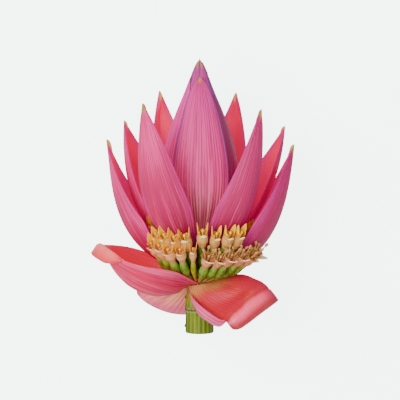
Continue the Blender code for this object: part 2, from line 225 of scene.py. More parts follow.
class Wire:
    """A socket of a material's nodes. Arithmetic on it adds Math nodes to the same material."""

    def __init__(self, socket):
        self.socket = socket

    def node(self, kind, settings=None, inputs=None, output=0):
        """Adds a node: first its settings, then the values or wires of its sockets."""
        node = self.socket.id_data.nodes.new(kind)
        for key, value in (settings or {}).items():
            setattr(node, key, value)
        for key, value in (inputs or {}).items():
            connect(value, node.inputs[key])
        return Wire(node.outputs[output])

    def math(self, operation, first, second=0.0):
        return self.node("ShaderNodeMath", {"operation": operation}, {0: first, 1: second})

    def __add__(self, other): return self.math("ADD", self, other)
    def __sub__(self, other): return self.math("SUBTRACT", self, other)
    def __rsub__(self, other): return self.math("SUBTRACT", other, self)
    def __mul__(self, other): return self.math("MULTIPLY", self, other)
    def __pow__(self, other): return self.math("POWER", self, other)
    def __abs__(self): return self.math("ABSOLUTE", self)

    def step(self, low, high):
        """A smooth step from 0 at `low` to 1 at `high`, which may be the lesser."""
        settings = {"interpolation_type": "SMOOTHSTEP"}
        if low < high:
            inputs = {"Value": self, "From Min": low, "From Max": high}
        else:
            inputs = {"Value": self, "From Min": high, "From Max": low, "To Min": 1.0, "To Max": 0.0}
        return self.node("ShaderNodeMapRange", settings, inputs)

    def wave(self):
        """The cosine of this value, brought to the range from 0 to 1."""
        return self.math("COSINE", self) * 0.5 + 0.5

    def noise(self, place, scale=1.0, detail=2.0, roughness=0.5):
        """Soft noise at a place, given as a wire or as its three parts."""
        if isinstance(place, tuple):
            place = self.node("ShaderNodeCombineXYZ", {}, dict(zip("XYZ", place)))
        return self.node("ShaderNodeTexNoise", {}, {"Vector": place, "Scale": scale,
                                                    "Detail": detail, "Roughness": roughness})

    def blend(self, share, first, second):
        """Mixes two colours by a share from 0 to 1."""
        return self.node("ShaderNodeMix", {"data_type": "RGBA"}, {0: share, 6: first, 7: second}, 2)

    def dye(self, share, colour):
        """This colour, mixed with another by a share from 0 to 1."""
        return self.blend(share, self, colour)

    def split(self):
        """The three parts of this vector."""
        node = self.socket.id_data.nodes.new("ShaderNodeSeparateXYZ")
        connect(self, node.inputs[0])
        return [Wire(output) for output in node.outputs]


def connect(value, socket):
    """Gives a socket a wire, a plain value, or a colour as six hexadecimal digits."""
    if isinstance(value, Wire):
        socket.id_data.links.new(value.socket, socket)
    else:
        socket.default_value = tint(value) if isinstance(value, str) else value


def new_material(name, **constants):
    """A Principled material with constants on its own sockets, and its surface pattern's parts."""
    material = bpy.data.materials.new(name)
    material.use_nodes = True
    shader = material.node_tree.nodes["Principled BSDF"]
    for key, value in constants.items():
        shader.inputs[key.replace("_", " ").title().replace("Ior", "IOR")].default_value = value
    attribute = material.node_tree.nodes.new("ShaderNodeAttribute")
    attribute.attribute_name = "pattern"
    return material, shader, Wire(attribute.outputs["Vector"])


def object_place(wire):
    """Where a point lies in its object's coordinates, in metres."""
    return wire.node("ShaderNodeTexCoord", output="Object")


def dress(shader, colour, roughness, height, depth):
    """Gives a material its colour, its roughness and a normal bumped by `height`, whose whole
    range stands for `depth` in metres."""
    connect(colour, shader.inputs["Base Color"])
    connect(roughness, shader.inputs["Roughness"])
    connect(colour.node("ShaderNodeBump", {}, {"Height": height, "Distance": depth}),
            shader.inputs["Normal"])


STEM_HEIGHT = (stem_high.y - stem_low.y) / MM
STEM_PROFILE = np.array([       # height above the cut face, radius
    (0.0, 8.75), (0.35, 9.1), (1.6, 9.2), (6.0, 9.1), (12.5, 9.1), (14.6, 9.3), (15.4, 9.6),
    (16.4, 9.55), (17.2, 9.6), (18.2, 9.3), (20.5, 9.1), (23.0, 8.7), (28.0, 7.9), (33.0, 7.7),
    (44.0, 7.6), (60.0, 7.2), (STEM_HEIGHT, 6.2),
])
RING_HEIGHT = 16.4        # of the scarred ring
NUBS = (4.6, 23.2)        # heights of two small brown bumps on the stem's left
NUB_AZIMUTH = 272.0


def make_stem():
    """The ribbed side is a ring at each height: the profile's radius plus a sum of three cosines
    of the azimuth. The cut face is rings of shrinking radius, dished by 0.4 mm."""
    height = np.concatenate([np.linspace(0.0, 2.0, 8), np.linspace(2.6, 24.0, 60),
                             np.linspace(25.0, STEM_HEIGHT, 40)])
    azimuth = round_turn(144)
    radius = np.interp(height, *STEM_PROFILE.T)
    turn = np.radians(azimuth)
    ribs = (0.55 * np.cos(19 * turn + 0.4) + 0.3 * np.cos(11 * turn + 2.0)
            + 0.25 * np.cos(31 * turn)) * 0.16
    ribs = ribs * ease(0.0, 1.5, height)[:, None] * (1.0 - 0.5 * ease(14.0, 16.0, height)[:, None])
    ring_bumps = 0.13 * np.sin(9 * turn) * np.exp(-((height[:, None] - RING_HEIGHT + 0.1) / 0.8) ** 2)
    beside = ((azimuth - NUB_AZIMUTH) / 6.0) ** 2
    nubs = sum(0.9 * np.exp(-(beside + ((height[:, None] - at) / 1.1) ** 2) ** 2) for at in NUBS)
    side = around_axis(azimuth, radius[:, None] + ribs + ring_bumps + nubs, height[:, None])
    share = np.array([0.02, 0.2, 0.45, 0.7, 0.88, 0.97])
    face = around_axis(azimuth, (8.75 * share)[:, None],
                       (0.4 * (1.0 - share ** 4) + 0.06 * np.sin(share * 40.0))[:, None])
    points = np.concatenate([face, side])
    along = np.concatenate([share * 0.9 - 1.0, height / STEM_HEIGHT])
    make_piece("peduncle", [(points, along[:, None], azimuth / 360.0, 0.0, 0)], "stem",
               [stem_material()])


def stem_material():
    """Green ribs by the cosine of the azimuth, streaks of a noise stretched along the stem, and
    masks by height for the ring, its groove, the cut's browned rim and the tan part in the head."""
    material, shader, pattern = new_material("ribbed_green_stem", specular_ior_level=0.2)
    place = object_place(pattern)
    x, y, z = place.split()
    height = (y - FOOT[1] * MM) * (1.0 / MM)
    right, front = x - FOOT[0] * MM, z - FOOT[2] * MM
    distance = (right * right + front * front) ** 0.5 * (1.0 / MM)
    round_the_stem = pattern.math("ARCTAN2", right, front)
    streaks = pattern.noise((x * 420.0, y * 22.0, z * 420.0), detail=3.0)
    broad = pattern.noise((x * 160.0, y * 30.0, z * 160.0))
    ribs = (round_the_stem * 19.0 + 0.4).wave()
    mottle = pattern.noise(place, 900.0, 3.0)
    skin = pattern.blend(ribs * 0.6 + streaks.step(0.3, 0.7) * 0.4, "3a4606", "76880a")
    skin = skin.dye(broad.step(0.52, 0.72) * 0.4, "98a81c").dye(mottle.step(0.6, 0.78) * 0.25, "3c4608")
    skin = skin.dye(height.step(17.5, 24.0) * 0.6, "a09010")
    ring = abs(height - RING_HEIGHT + (broad - 0.5) * 0.8).step(1.15, 0.55)
    groove = abs(height - (RING_HEIGHT - 1.0) + (broad - 0.5) * 0.5).step(0.5, 0.15)
    below = abs(height - (RING_HEIGHT - 2.2)).step(0.8, 0.2)
    skin = skin.dye(ring * 0.9, pattern.blend(streaks.step(0.3, 0.7), "4b3a2a", "8d7650"))
    skin = skin.dye(groove * 0.75, "33241a").dye(below * 0.3, "a8b060")
    side = (round_the_stem + math.radians(360.0 - NUB_AZIMUTH)) * 7.0
    for at in NUBS:
        bump = (side * side + (height - at) * (height - at)).step(2.6, 0.8)
        skin = skin.dye(bump * 0.85, "5c3818")
    rim = (height + (mottle - 0.5) * 1.6).step(1.1, 0.25)
    skin = skin.dye(rim * 0.75, "6d5228")
    skin = skin.dye(height.step(27.0, 30.5), pattern.blend(streaks, "a87838", "7a5426"))
    cut = abs(height - 0.2).step(0.32, 0.2) * distance.step(8.9, 8.6)
    pores = pattern.noise(place, 2600.0)
    pulp = pattern.blend(pores.step(0.42, 0.62), "b7b27a", "8c8048")
    skin = skin.dye(cut, pulp.dye(distance.step(7.2, 8.4), "7c6a34"))
    dress(shader, skin, streaks * 0.15 + 0.36 + ring * 0.3 + cut * 0.3,
          streaks * 0.6 + ribs * 0.4 + pores * cut, 0.0005)
    return material


make_stem()


# --- Bud ----------------------------------------------------------------------------------------
# The bud is a cone of unopened bracts, laid over each other like roof tiles. Three of them wrap it
# all round: one on each side and one in front, whose margins run down from its shoulders.

BUD_FOOT = 63.6           # where the bud's rounded end would meet the axis
BUD_RADIUS = 25.2
BUD_SKEW = 0.635          # below 1, the widest part is nearer to the foot
WRAP_STEP = 1.9           # from one layer of the bud to the next
BARE_TIP = (148.0, 158.0)     # heights between which the heart comes out of its wraps
BUD_BASE = STEM_HEIGHT + 0.3


def bud_radius(height):
    """The bud's outline: half a sine wave whose widest part is moved towards the foot."""
    return BUD_RADIUS * np.sin(np.pi * ramp(BUD_FOOT, HEAD_LENGTH, height) ** BUD_SKEW)


def unit(vectors):
    """Vectors divided by their lengths."""
    return vectors / np.maximum(np.linalg.norm(vectors, axis=-1, keepdims=True), 1e-12)


def surface_normals(points):
    """Unit normals of a grid, from the differences between the points on either side."""
    return unit(np.cross(np.gradient(points, axis=0), np.gradient(points, axis=1)))


def leaf_skin(outer, along, across, thickness, edge=0.22, sense=-1.0, horn=0.0):
    """A closed skin from a leaf's outer face: (points, along, across, face, material number).

    The inner face lies inward by a thickness that falls to `edge` of itself at both margins and
    at the tip, where it may swell by `horn` mm to a hard point, round in section. A point halfway
    between the faces, moved out sideways, rounds each margin. `sense` is -1 where the grid's
    normals point inward, else 1.
    """
    thin = edge + (1.0 - edge) * (1.0 - across ** 4) * (1.0 - along[:, None] ** 12)
    swell = (ease(0.84, 0.95, along) * np.sqrt(1.0 - along ** 50))[:, None] * np.sqrt(1.0 - across ** 2)
    depth = (thickness * thin + horn * swell)[..., None]
    inner = outer - surface_normals(outer) * sense * depth
    middle = (outer + inner) / 2
    right = middle[:, -1] + unit(middle[:, -1] - middle[:, -2]) * depth[:, -1] * 0.4
    left = middle[:, 0] + unit(middle[:, 0] - middle[:, 1]) * depth[:, 0] * 0.4
    points = np.concatenate([left[:, None], outer, right[:, None], inner[:, ::-1]], 1)
    side = np.concatenate([[-1.0], across, [1.0], across[::-1]])
    face = np.concatenate([[0.5], np.zeros(len(across)), [0.5], np.ones(len(across))])
    return points, along[:, None], side, face, 0


def leaf_material(node, seed, outside, inside, tip, width=25.0, veins=1.0, roughness=0.3,
                  turns=(0.22, 0.5, 0.6, 0.9, 2.0, 3.0), point_from=1.1, painted_glow=1.0,
                  edge_and_shadow_line="c01470", vein=("740c30", "a81458", "f05898"), coat=0.0, grooves=0.0,
                  lines_inside=0.15):
    """The finish of one bract, from its pattern: across (-1 to 1), along (0 to 1) and face.

    `outside` and `inside` are tints from the foot to the tip, then the margins' tint. The lining
    turns from one to the next, then back, at the shares `turns` of its length. Its first tint is
    painted shade deep in the cup of an upright bract, and on a rolled end the band of its third
    tint is partly a painted highlight. The veins run along the bract: lines a millimetre or two
    apart, which waver by a slow noise, over streaks of a noise that is stretched along it. The
    tints of `vein` are the dark ones near the foot and near the tip, and the light ones; `veins` is
    how strong they are, and `lines_inside` how strongly the lining shows them. The edge line tints
    the very edge, and the sheet's cut side at half strength; on the bud it is a painted shadow
    line along the wraps' margins. `grooves` browns the lines near the foot, `tip` tints the hard
    point from the share `point_from` on, and `width` is the bract's half width in mm. `coat` is
    the rolled lining's gloss. A painted glow, emission of the finished colour, stands for daylight
    through the lining, and shows on the outside at a fifth of its strength.
    """
    material, shader, pattern = new_material(node + "_finish", specular_ior_level=0.25,
                                             coat_roughness=0.22)
    across, along, face = pattern.split()
    margin = abs(across)
    sway = pattern.noise((across * 1.7 + seed, along * 3.0, seed))
    bent = across + (sway - 0.5) * 0.07
    fine = pattern.noise((bent * (width / 1.7) + seed, along * 2.2, seed * 1.3), 1.0, 4.0, 0.65)
    coarse = pattern.noise((bent * (width / 4.0) - seed, along * 1.4, seed * 0.7))
    cloud = pattern.noise((across * 1.5, along * 2.8, seed * 2.1), detail=3.0)
    speck = pattern.noise((across * width * 2.5, along * 110.0, seed))
    lines = (bent * (width * 3.4) + (fine - 0.5) * 5.0).wave()
    ridges = lines * (coarse.step(0.3, 0.6) * 0.6 + 0.4)

    low, middle, high, edge = outside
    skin = pattern.blend((along + (cloud - 0.5) * 0.35).step(0.10, 0.45), low, middle)
    skin = skin.dye((along + (coarse - 0.5) * 0.3).step(0.5, 0.92), high)
    skin = skin.dye((margin + (fine - 0.5) * 0.2).step(0.66, 1.0) * 0.6, edge)
    skin = skin.dye(cloud.step(0.52, 0.72) * 0.4, high)
    dark = pattern.blend(along.step(0.15, 0.5), vein[0], vein[1])
    skin = skin.dye(fine.step(0.46, 0.36) * 0.3 * veins, vein[2])
    skin = skin.dye(fine.step(0.5, 0.6) * 0.7 * veins, dark)
    skin = skin.dye(ridges.step(0.35, 0.9) * 0.7 * veins, dark)
    skin = skin.dye(coarse.step(0.56, 0.74) * 0.35 * veins, low)
    # The edge line at the very margin; on the bud it is dark, a painted shadow line.
    skin = skin.dye(speck.step(0.68, 0.78) * 0.35, "7a1f4a").dye(margin.step(0.9, 0.985) * 0.7, edge_and_shadow_line)
    if grooves:
        brown = lines.step(0.4, 0.85) * (along + (coarse - 0.5) * 0.2).step(0.34, 0.12) * grooves
        skin = skin.dye(brown, "5c3820")

    foot_tint_and_shade, flesh, fair_tint_and_highlight, lip = inside
    reach = along + (cloud - 0.5) * 0.06
    # The lining's first tint at the foot; on an upright bract it is painted shade deep in the cup.
    lining = pattern.blend((reach + (fine - 0.5) * 0.08).step(turns[0], turns[1]), foot_tint_and_shade, flesh)
    lining = lining.dye(cloud.step(0.5, 0.75) * 0.3, foot_tint_and_shade).dye(fine.step(0.5, 0.66) * 0.4 * veins, lip)
    lining = lining.dye(ridges.step(0.3, 0.9) * lines_inside, dark)
    # The third tint's band; along a rolled end it is the paler lining and partly a painted highlight.
    lining = lining.dye(reach.step(turns[2], turns[3]) * reach.step(turns[5], turns[4]), fair_tint_and_highlight)
    lining = lining.dye((margin + (coarse - 0.5) * 0.25).step(0.55, 0.97) * 0.85, lip)

    within = face.step(0.35, 0.65)
    rim = (face * (1.0 - face) * 4.0).step(0.4, 0.9)
    point = along + (fine - 0.5) * 0.03 - margin * margin * 0.05
    horn = pattern.blend(fine.step(0.4, 0.65), tip, "a06a24")
    # The edge line also tints the sheet's cut side at half strength: on the bud, painted shadow.
    colour = skin.dye(within, lining).dye(rim * 0.5, edge_and_shadow_line)
    colour = colour.dye(point.step(point_from - 0.035, point_from) * 0.92, horn)
    dress(shader, colour, fine * 0.22 + roughness + cloud * 0.1,
          fine * 0.6 + lines * 0.25 + coarse * 0.6 + speck * 0.1, 0.0005 * veins)
    # Painted glow: emission of the finished colour, full on the lining and a fifth on the outside.
    connect(painted_glow, shader.inputs["Emission Strength"])
    connect(pattern.blend(within * 0.8 + 0.2, "000000", colour), shader.inputs["Emission Color"])
    connect(within * along.step(turns[2] - 0.04, turns[2]) * coat, shader.inputs["Coat Weight"])
    return material


# The bud's edge line is dark violet: a painted shadow line along the wraps' margins and down the heart.
BUD_TINTS = dict(inside=("6c0a22", "980c30", "a80c38", "a00148"), tip="e8b038", edge_and_shadow_line="58346c",
                 vein=("8c2c4c", "a81458", "f05898"))
# Each wrap's outside tints, foot to tip, then margin. The left wrap is painted lighter as the lit side of
# the bud, the right wrap darker as its shaded side.
WRAP_SKINS_LIT_AND_SHADED = {
    "bud_wrap_left": ("b83858", "f42c94", "f830a8", "dc60b0"),
    "bud_wrap_right": ("741838", "78184c", "842c70", "6c3474"),
    "bud_wrap_front": ("d06078", "d83480", "d42c88", "b048a0"),
}

# Each wrap: azimuth and half angle, heights of its foot and tip, how its half angle falls off as
# (1 - u ** a) ** b, how far out it lies, how far its tip stands off, and the seed of its veins
BUD_WRAPS = {
    "bud_wrap_left": (-100.0, 80.0, 70.0, 169.2, (7.0, 0.5), 0.0, 0.5, 3.1),
    "bud_wrap_right": (110.0, 75.0, 70.0, 170.0, (5.0, 0.55), 0.0, 0.6, 5.7),
    "bud_wrap_front": (2.5, 42.0, 66.5, 168.0, (20.0, 0.75), WRAP_STEP, 0.0, 8.3),
}


def make_wraps():
    """A wrap covers its half angle either side of its midrib at the radius of the bud."""
    for node, (azimuth, spread, foot, tip, fall, offset, lift, seed) in BUD_WRAPS.items():
        along = 1.0 - (1.0 - np.linspace(0.0, 1.0, 110)) ** 1.4
        across = np.linspace(-1.0, 1.0, 61)
        height = foot + (tip - foot) * along
        half = spread * np.maximum(1.0 - along ** fall[0], 0.0) ** fall[1] + 0.6
        radius = (bud_radius(height) + offset + lift * ease(0.86, 1.0, along)
                  + 3.0 * ease(76.0, 68.0, height))
        folds = 0.16 * np.sin(across * 17.0 + seed) * (1.0 - along[:, None]) ** 0.5
        outer = around_axis(azimuth + half[:, None] * across, radius[:, None] + folds, height[:, None])
        front = dict(point_from=0.988, grooves=0.7) if node == "bud_wrap_front" else {}
        make_piece(node, [leaf_skin(outer, along, across, 0.8, edge=0.35)], "bud",
                   [leaf_material(node, seed, WRAP_SKINS_LIT_AND_SHADED[node], width=spread * 0.45, **front, **BUD_TINTS)])


def make_heart():
    """The heart is rings at the bud's radius, less the wraps' step where they cover it. On its
    bare tip the outermost young bract laps over the next: its edge is a small step in radius."""
    along = np.linspace(0.0, 1.0, 150) ** 0.9
    height = BUD_BASE + (HEAD_LENGTH - BUD_BASE) * along
    azimuth = round_turn(96)
    bare = ease(*BARE_TIP, height)
    radius = bud_radius(height) - WRAP_STEP * (1.0 - bare) - 0.35 * bare + 0.85 * ease(166.0, 170.5, height)
    radius = np.maximum(radius * ease(180.5, 176.0, height), 0.12)
    past = (azimuth - 12.0) % 360.0
    lap = 0.5 * ease(0.0, 14.0, past) * ease(330.0, 150.0, past)
    shape = radius[:, None] + lap * (bare * ease(180.0, 174.0, height))[:, None]
    points = around_axis(azimuth, shape, height[:, None])
    # Across is the cosine of three times the azimuth, so the dark edge line, painted shadow, runs down the
    # heart six times round.
    make_piece("bud_heart", [(points, along[:, None], np.cos(np.radians(azimuth * 3.0)), 0.0, 0)], "bud",
               [leaf_material("bud_heart", 1.7, ("a02c50", "b83078", "c43c98", "984890"), width=12.0,
                              point_from=0.955, **BUD_TINTS)])


make_heart()
make_wraps()


# --- Upright bracts -----------------------------------------------------------------------------
# Eight bracts have opened and stand round the bud. Each is one thick leathery leaf: mauve pink and
# ribbed outside, coral red and smooth inside, with a hard tan point, and grown on a ring of the stem.

def bract_form(azimuth, base, length, lean, half_width, widest, taper, cup, ring, seed,
               ring_angle=42.0, tilt=0.0, roll=0.0, roll_from=1.0, columns=41):
    """A bract's outer face as a grid from its ring on the stem to its tip, and its two scales.

    It starts at the height `base` on a ring of radius `ring`, `ring_angle` to either side.
    Its midrib leans from lean[0] to lean[1] degrees off the axis, easing by the power lean[2].
    Its half width grows as a quarter sine up to the share `widest` of the length, then falls as
    1 - t ** taper to a blunt point. Across, it is an arc whose half angle goes from the ring's
    through cup[0] to cup[1]. A product of sines ruffles it. A reflexed bract is tilted about its
    midrib and rolls back on itself by `roll` degrees from the share `roll_from` on.
    """
    rows, fine_steps = 120, 12      # the midrib is summed in finer steps than the grid's rows
    u = np.linspace(0.0, 1.0, rows)
    v = np.linspace(-1.0, 1.0, columns)
    fine = np.linspace(0.0, 1.0, fine_steps * (rows - 1) + 1)
    angle = np.radians(lean[1] + (lean[0] - lean[1]) * ramp(roll_from, 0.0, fine) ** lean[2]
                       + roll * ramp(min(roll_from, 0.99), 1.0, fine) ** 1.15)
    middle = (angle[1:] + angle[:-1]) / 2
    step = length / (len(fine) - 1)
    out = np.concatenate([[0.0], np.cumsum(np.sin(middle)) * step])[::fine_steps]
    up = np.concatenate([[0.0], np.cumsum(np.cos(middle)) * step])[::fine_steps]
    angle = angle[::fine_steps]

    ring_width = ring * math.radians(ring_angle)
    growing = np.sin(np.pi / 2 * ramp(0.0, widest, u))
    fading = 1.0 - ramp(widest, 1.0, u) ** taper
    blunt = 1.6 * np.sqrt(np.maximum(1.0 - u ** 24, 0.004))
    width = np.hypot((ring_width + (half_width - ring_width) * growing) * fading, blunt)
    arc = np.radians(np.where(u < widest, ring_angle + (cup[0] - ring_angle) * growing,
                              cup[0] + (cup[1] - cup[0]) * ramp(widest, roll_from, u)))
    radius = np.maximum(width / arc, 1.7)
    arc = (width / radius)[:, None] * v
    across = radius[:, None] * np.sin(arc)
    inward = radius[:, None] * (1.0 - np.cos(arc))

    leaving = ease(0.0, 0.18, u)
    facing = (angle * leaving)[:, None]
    points = np.stack(np.broadcast_arrays(across, out[:, None] - inward * np.cos(facing),
                                          up[:, None] + inward * np.sin(facing)), -1)
    aim = np.argmax(u >= roll_from)
    midrib = unit(np.array([0.0, out[aim], up[aim]]))
    turn = (math.radians(tilt) * leaving)[:, None, None]
    keep = midrib * (points @ midrib)[..., None]
    points = points * np.cos(turn) + np.cross(midrib, points) * np.sin(turn) + keep * (1.0 - np.cos(turn))
    normal = surface_normals(points)
    wave = (np.sin(v * 5.0 + seed) * np.sin(u[:, None] * 7.0 + seed * 2.0)
            + 0.6 * np.sin(v * 9.0 - seed * 3.0) * np.sin(u[:, None] * 3.5 + seed))
    points += normal * (0.35 * wave * (ease(0.08, 0.3, u) * ease(1.0, 0.9, u))[:, None])[..., None]
    outer = around_axis(azimuth, ring + points[..., 1], base + points[..., 2], points[..., 0])
    return outer, u, v


UPRIGHT_BRACTS = {
    "bract_front_left": dict(
        azimuth=-40.1, base=56.0, length=119.9, lean=(85.3, 3.7, 2.6), half_width=24.9,
        widest=0.37, taper=1.65, cup=(76.0, 58.0), ring=9.2, seed=1.0),
    "bract_front_right": dict(
        azimuth=45.8, base=52.0, length=115.4, lean=(68.5, 4.3, 2.03), half_width=20.8,
        widest=0.37, taper=1.35, cup=(67.0, 61.0), ring=9.2, seed=2.2),
    "bract_left_outer": dict(
        azimuth=-96.0, base=44.0, length=107.9, lean=(96.3, 6.2, 2.36), half_width=29.5,
        widest=0.45, taper=1.56, cup=(68.0, 30.0), ring=9.4, seed=3.4),
    "bract_right_outer": dict(
        azimuth=91.2, base=41.0, length=107.4, lean=(88.0, 4.7, 1.95), half_width=30.7,
        widest=0.44, taper=1.65, cup=(65.0, 60.0), ring=9.4, seed=4.6),
    "bract_left_inner": dict(
        azimuth=-111.8, base=49.0, length=104.5, lean=(65.5, -1.3, 1.39), half_width=29.0,
        widest=0.44, taper=1.67, cup=(58.0, 68.0), ring=9.2, seed=5.8),
    "bract_right_inner": dict(
        azimuth=112.5, base=46.0, length=103.6, lean=(54.5, 7.2, 1.03), half_width=24.5,
        widest=0.41, taper=1.58, cup=(53.0, 63.0), ring=9.4, seed=6.1),
    "bract_back_left": dict(
        azimuth=-153.1, base=64.0, length=105.6, lean=(58.9, 3.8, 1.2), half_width=19.5,
        widest=0.39, taper=1.42, cup=(65.0, 48.0), ring=9.0, seed=7.3),
    "bract_back_right": dict(
        azimuth=155.2, base=60.0, length=108.9, lean=(63.6, 3.0, 1.45), half_width=20.5,
        widest=0.4, taper=1.51, cup=(58.0, 53.0), ring=9.0, seed=8.5),
}
# Outside tints of the upright bracts, foot to tip, then margin: those on the left are painted lighter as
# the lit side of the head, those on the right darker as its shaded side.
OUTSIDES_LIT_AND_SHADED = {"left": ("7c0c20", "b81850", "fc3c90", "d02c80"),
            "right": ("7c0c24", "ac1850", "c01c68", "b82c84")}
# The lining's tints, foot to tip, then margin; the first, near black, is painted shade deep in the cup.
LINING = ("5c0418", "b6013a", "cc0340", "b00160")


def rest_on_sheet(points):
    """Smoothly keeps points from going below the sheet that the head lies on: half the sum of
    their height above it and the root of that height's square plus a little."""
    rise = points[..., 2] + FOOT[2]
    points[..., 2] = (rise + np.sqrt(rise ** 2 + 0.02)) / 2 - FOOT[2]


def make_upright_bracts():
    for node, shape in UPRIGHT_BRACTS.items():
        outer, along, across = bract_form(**shape)
        rest_on_sheet(outer)
        make_piece(node, [leaf_skin(outer, along, across, 1.1, horn=2.6)],
                   "bract_outside" if "front" in node or "outer" in node else "bract_inside",
                   [leaf_material(node, shape["seed"], OUTSIDES_LIT_AND_SHADED["left" if "left" in node else "right"],
                                  LINING, "d0a048", width=shape["half_width"],
                                  point_from=0.94 if "outer" in node else 0.96)])


make_upright_bracts()


# --- Reflexed bracts ----------------------------------------------------------------------------
# The three oldest bracts have bent away from the head to bare their flowers. The ends of two have
# rolled back on themselves and show their glossy lining; the third hangs behind the stem.

def through(values, places, at):
    """A smooth curve through `values` at `places`: cubic pieces whose slope at each value is the
    slope between its neighbours."""
    slopes = np.gradient(values, places, axis=0)
    piece = np.clip(np.searchsorted(places, at, side="right") - 1, 0, len(places) - 2)
    span = places[piece + 1] - places[piece]
    t = (at - places[piece]) / span
    span, t = [part.reshape((-1,) + (1,) * (values.ndim - 1)) for part in (span, t)]
    return (values[piece] * (1.0 + 2.0 * t) * (1.0 - t) ** 2 + values[piece + 1] * t * t * (3.0 - 2.0 * t)
            + slopes[piece] * span * t * (1.0 - t) ** 2 + slopes[piece + 1] * span * t * t * (t - 1.0))


# A bract with a rolled end: the places across it at which its points are given; azimuths of its
# foot on the stem, at a radius and heights; then the stations of its blade, each a row of points
# (right, up, front) in mm from one margin to the other, the last along the crest where the roll
# starts; how far the roll reaches at each point, and the way in which it leaves the crest. ROLL is
# the roll's profile in shares of its reach: outwards from the crest, and forwards.
ROLL = [(0.05, 0.09), (0.22, 0.21), (0.5, 0.27), (0.8, 0.13), (0.97, -0.12), (0.98, -0.36),
        (0.8, -0.58), (0.5, -0.66), (0.2, -0.5)]
# In each finish the third inside tint, between the third and sixth of the turns, is the roll's paler lining
# and partly a painted highlight along its top; the last figure is the strength of a painted glow.
ROLLED_BRACTS = {
    "reflexed_bract_left": dict(
        places=(-1.0, -0.5, 0.0, 0.5, 1.0), foot=(-143.0, -110.0, -75.0, -40.0, -2.0),
        foot_radius=9.6, foot_height=(32.6,) * 5, stations=[
            [(-17, 44, -12), (-20, 33, -6), (-15, 27, 6), (-14, 30.5, 19), (-14, 42.8, 29)],
            [(-34.8, 51.1, -13), (-34, 35, -7), (-32.2, 26.2, 13), (-31, 35.6, 30), (-33.5, 47.3, 37)],
            [(-49, 55.2, -10), (-51, 44, -3), (-48.8, 34.6, 14), (-47, 43.3, 29), (-45.2, 50.1, 36)],
            [(-58.8, 56.7, -5), (-60.5, 51, 2), (-57.5, 45.5, 15), (-55, 48.5, 25), (-48.1, 51.2, 34.5)],
            [(-67.5, 56.5, -1), (-64.8, 58.5, 8), (-61, 57, 17), (-56.2, 54.8, 25.5), (-50.4, 52, 32)],
        ], reach=(5.0, 8.0, 8.0, 7.0, 2.0), away=(-0.55, -0.83, 0.0), seed=2.7,
        outside=("b80c40", "e00048", "e81860", "ec588c"),
        inside=("a82818", "d41c20", "f46a68", "c01038"),
        turns=(0.1, 0.4, 0.68, 0.76, 0.8, 0.92), painted_glow=0.7),
    "reflexed_bract_right": dict(
        places=(-1.0, -0.72, -0.3, 0.3, 1.0), foot=(-72.0, -48.0, -10.0, 40.0, 115.0),
        foot_radius=9.6, foot_height=(31.5, 31.5, 31.8, 33.0, 34.0), stations=[
            [(-3.6, 24.2, 20), (-4.2, 20, 15), (2.3, 26, 15), (14.6, 30.4, 20), (26.3, 39.6, 12)],
            [(6.2, 17.3, 33), (3.6, 11.7, 27), (14, 19.3, 25), (27, 28.7, 27), (36.7, 37.7, 22)],
            [(12.7, 13.7, 38.5), (13, 8.1, 33), (19.2, 18.3, 33.5), (30.6, 27.7, 32.5), (41, 36.1, 26)],
            [(17.6, 12.5, 41), (19.5, 14, 40.5), (23.1, 17.8, 39.5), (32.8, 26.2, 36), (44.5, 33.2, 29)],
        ], reach=(6.0, 8.0, 9.8, 11.0, 10.7), away=(0.62, -0.78, 0.0), seed=4.1,
        outside=("e84c80", "f46c9c", "f47ca4", "ec5c8c"),
        inside=("b87c40", "b41c28", "f04468", "a01030"),
        turns=(0.05, 0.3, 0.68, 0.73, 0.74, 0.8), painted_glow=0.35),
}


def rolled_form(places, foot, foot_radius, foot_height, stations, reach, away, **finish):
    """The outer face of a bract with a rolled end, and its two scales: a smooth curve across
    through each row of points, then one along through its foot, its stations and its roll."""
    stations, reach, away = np.array(stations, float), np.array(reach)[:, None], np.array(away)
    start = around_axis(np.array(foot), foot_radius, np.array(foot_height))
    roll = [stations[-1] + reach * (out * away + [0.0, 0.0, front]) for out, front in ROLL]
    grid = np.array([start, *stations, *roll])
    distance = np.linalg.norm(np.diff(grid, axis=0), axis=-1).mean(1)
    at = np.concatenate([[0.0], np.cumsum(distance)])
    across = np.linspace(-1.0, 1.0, 61)
    wide = np.moveaxis(through(np.moveaxis(grid, 1, 0), np.array(places), across), 0, 1)
    along = np.linspace(0.0, at[-1], 190)
    return through(wide, at, along), along / at[-1], across


HANGING_BRACT = dict(
    azimuth=-163.0, base=29.2, length=57.0, lean=(175.0, 72.0, 1.08), half_width=38.5,
    widest=0.46, taper=2.15, cup=(56.0, 38.0), ring=9.5, ring_angle=56.0, tilt=-1.6,
    roll=40.0, roll_from=0.8, columns=49, seed=6.6)
HANGING_FINISH = dict(outside=("f8a474", "f06478", "e8507c", "dc4878"), width=20.0, veins=0.7,
                      inside=("b05038", "d04038", "d85058", "c02c50"), tip="e05048",
                      point_from=0.965, vein=("b03850", "d04070", "f89c80"))
ROLLED_FINISH = dict(tip="c03040", width=24.0, roughness=0.2, coat=0.4, edge_and_shadow_line="e84c78",
                     vein=("8c1030", "b81450", "f878a0"), lines_inside=0.4)


